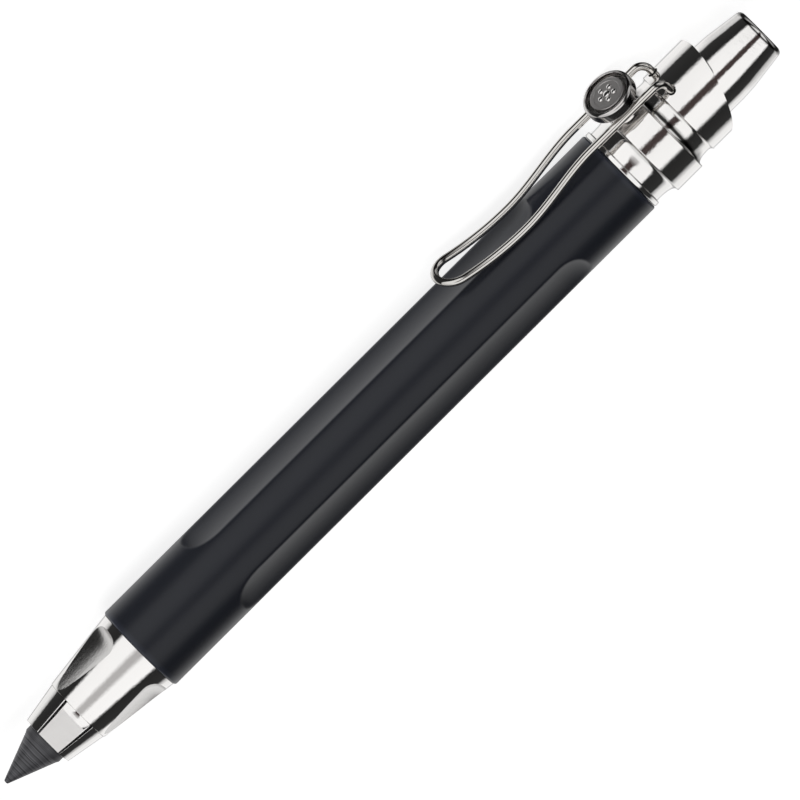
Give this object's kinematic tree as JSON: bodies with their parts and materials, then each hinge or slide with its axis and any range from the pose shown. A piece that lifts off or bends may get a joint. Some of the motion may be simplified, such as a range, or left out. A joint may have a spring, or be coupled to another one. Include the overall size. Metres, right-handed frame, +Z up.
{
  "type": "lead holder",
  "caption": "Clutch lead holder with a fluted round barrel, a tapered nose, a six-jaw chuck, a wire pocket clip held by a round knob, and a push cap.",
  "frame": {"origin": "on the pen's axis, at the centre of the push cap's flat end face", "axes": "+X along the pen's axis from the push cap to the lead's point; +Z up, with the pen lying on its side on its clip ring and clip knob; -Y towards the side that the clip is on"},
  "size_m": [0.1295, 0.0177, 0.0132],
  "materials": {
    "black_lacquer": "satin black lacquer",
    "nickel_plate": "bright nickel plating on brass",
    "bright_wire": "plated spring wire",
    "dark_chrome": "dark polished plating",
    "brass": "turned",
    "spring_steel": "drawn wire and strip",
    "graphite": "graphite and clay lead, ground to a point"
  },
  "bodies": {
    "casing": {"barrel": "black_lacquer", "nose_cone": "nickel_plate", "spring_washer": "spring_steel", "return_spring": "spring_steel", "rear_ferrule": "nickel_plate", "clip_ring": "nickel_plate", "tail_collar": "nickel_plate", "clip_base": "nickel_plate", "clip_knob": "dark_chrome", "knob_disc": "dark_chrome"},
    "plunger": {"lead_tube": "brass", "spring_stop": "brass", "chuck_sleeve": "brass"},
    "lead": {"lead": "graphite"},
    "cap": {"push_cap": "nickel_plate", "sharpener_insert": "brass", "sharpener_blade": "spring_steel"},
    "clip": {"clip_wire": "bright_wire"},
    "jaw_1": {"chuck_jaw_1": "nickel_plate"},
    "jaw_2": {"chuck_jaw_2": "nickel_plate"},
    "jaw_3": {"chuck_jaw_3": "nickel_plate"},
    "jaw_4": {"chuck_jaw_4": "nickel_plate"},
    "jaw_5": {"chuck_jaw_5": "nickel_plate"},
    "jaw_6": {"chuck_jaw_6": "nickel_plate"}
  },
  "joints": [
    {"name": "push_slide", "type": "slide", "parent": "casing", "child": "plunger", "axis": [1, 0, 0], "range_m": [0, 0.0045], "stiffness_N_per_m": 900, "springref_m": -0.004, "deforming": ["return_spring"]},
    {"name": "jaw_1_spread", "type": "hinge", "parent": "plunger", "child": "jaw_1", "pos_m": [0.1059, -0.00298, -0.00141], "axis": [0, 0.4261, -0.9047], "range_deg": [0, 2.2]},
    {"name": "jaw_2_spread", "type": "hinge", "parent": "plunger", "child": "jaw_2", "pos_m": [0.1059, -0.00028, -0.00329], "axis": [0, 0.9965, -0.0833], "range_deg": [0, 2.2]},
    {"name": "jaw_3_spread", "type": "hinge", "parent": "plunger", "child": "jaw_3", "pos_m": [0.1059, 0.00271, -0.00188], "axis": [0, 0.5704, 0.8213], "range_deg": [0, 2.2]},
    {"name": "jaw_4_spread", "type": "hinge", "parent": "plunger", "child": "jaw_4", "pos_m": [0.1059, 0.00298, 0.00141], "axis": [0, -0.4261, 0.9047], "range_deg": [0, 2.2]},
    {"name": "jaw_5_spread", "type": "hinge", "parent": "plunger", "child": "jaw_5", "pos_m": [0.1059, 0.00028, 0.00329], "axis": [0, -0.9965, 0.0833], "range_deg": [0, 2.2]},
    {"name": "jaw_6_spread", "type": "hinge", "parent": "plunger", "child": "jaw_6", "pos_m": [0.1059, -0.00271, 0.00188], "axis": [0, -0.5704, -0.8213], "range_deg": [0, 2.2]},
    {"name": "lead_slide", "type": "slide", "parent": "plunger", "child": "lead", "axis": [1, 0, 0], "range_m": [-0.0065, 0.04]},
    {"name": "cap_pull", "type": "slide", "parent": "plunger", "child": "cap", "axis": [-1, 0, 0], "range_m": [0, 0.016]},
    {"name": "clip_lift", "type": "hinge", "parent": "casing", "child": "clip", "pos_m": [0.0129, -0.00531, -0.00185], "axis": [0, 0.3292, -0.9443], "range_deg": [0, 3], "stiffness_Nm_per_rad": 1.2, "springref_deg": -1.15}
  ],
  "couplings": [
    {"joint": "jaw_1_spread", "follows": "push_slide", "rad_per_m": 8},
    {"joint": "jaw_2_spread", "follows": "push_slide", "rad_per_m": 8},
    {"joint": "jaw_3_spread", "follows": "push_slide", "rad_per_m": 8},
    {"joint": "jaw_4_spread", "follows": "push_slide", "rad_per_m": 8},
    {"joint": "jaw_5_spread", "follows": "push_slide", "rad_per_m": 8},
    {"joint": "jaw_6_spread", "follows": "push_slide", "rad_per_m": 8}
  ]
}
